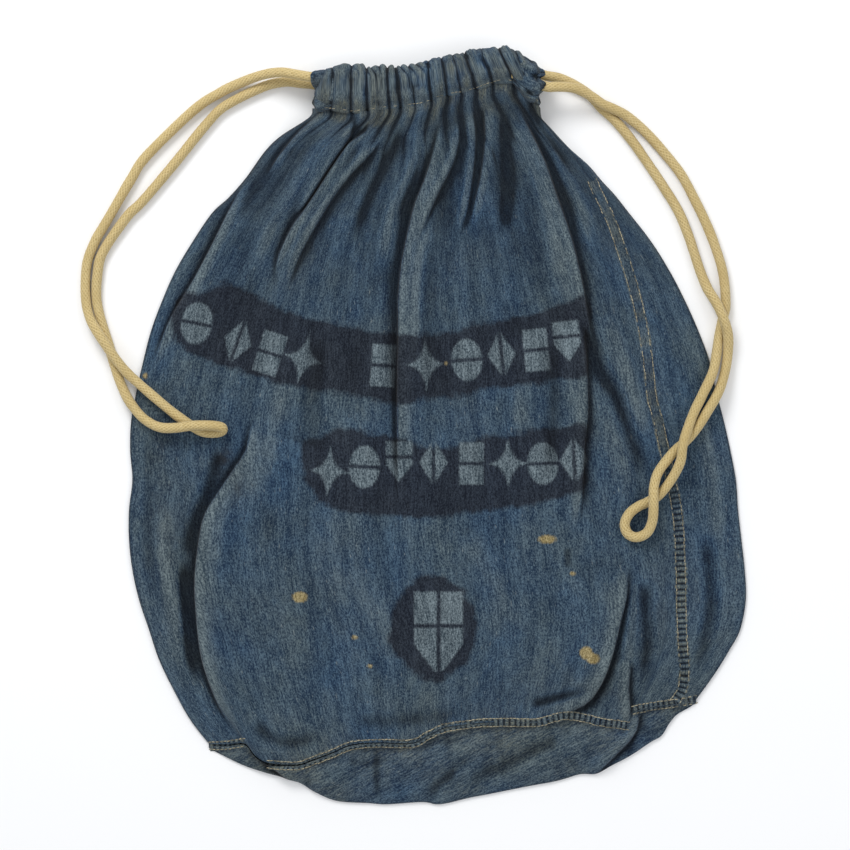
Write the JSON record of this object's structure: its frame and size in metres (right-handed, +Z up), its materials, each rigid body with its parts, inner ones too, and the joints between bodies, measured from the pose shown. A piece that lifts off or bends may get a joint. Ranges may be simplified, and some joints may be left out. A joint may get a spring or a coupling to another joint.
{
  "type": "mail sack",
  "caption": "Empty round-bottomed denim drawstring sack lying flat, mouth gathered closed on cotton drawcords whose loops lie on and beside it.",
  "frame": {"origin": "middle of the sack's outline without its free cords, on the surface it lies on", "axes": "+Y from the bottom seam to the mouth, +X to the side with the side seam, +Z up out of the stencilled front"},
  "size_m": [0.6016, 0.6821, 0.0375],
  "materials": {
    "denim": "worn indigo denim",
    "faded_denim": "faded denim, rubbed on its ridges",
    "cotton_cord": "braided cotton, yellowed",
    "thread": "tan sewing thread"
  },
  "bodies": {
    "sack": {"front_panel": "denim", "back_panel": "denim", "bottom_panel": "denim", "front_casing": "faded_denim", "back_casing": "faded_denim", "left_casing_end": "denim", "right_casing_end": "denim", "left_cord_collar": "faded_denim", "right_cord_collar": "faded_denim", "side_seam": "faded_denim", "front_bottom_seam": "faded_denim", "back_bottom_seam": "faded_denim", "left_drawcord_run": "cotton_cord", "right_drawcord_run": "cotton_cord", "casing_stitching": "thread", "side_seam_stitching": "thread", "bottom_seam_stitching": "thread"},
    "left_drawcord": {"left_drawcord_loop": "cotton_cord"},
    "right_drawcord": {"right_drawcord_loop": "cotton_cord"}
  },
  "joints": [
    {"name": "left_drawcord_pull", "type": "slide", "parent": "sack", "child": "left_drawcord", "axis": [-1, 0, 0], "range_m": [0, 0.02]},
    {"name": "right_drawcord_pull", "type": "slide", "parent": "sack", "child": "right_drawcord", "axis": [1, 0, 0], "range_m": [0, 0.02]}
  ]
}
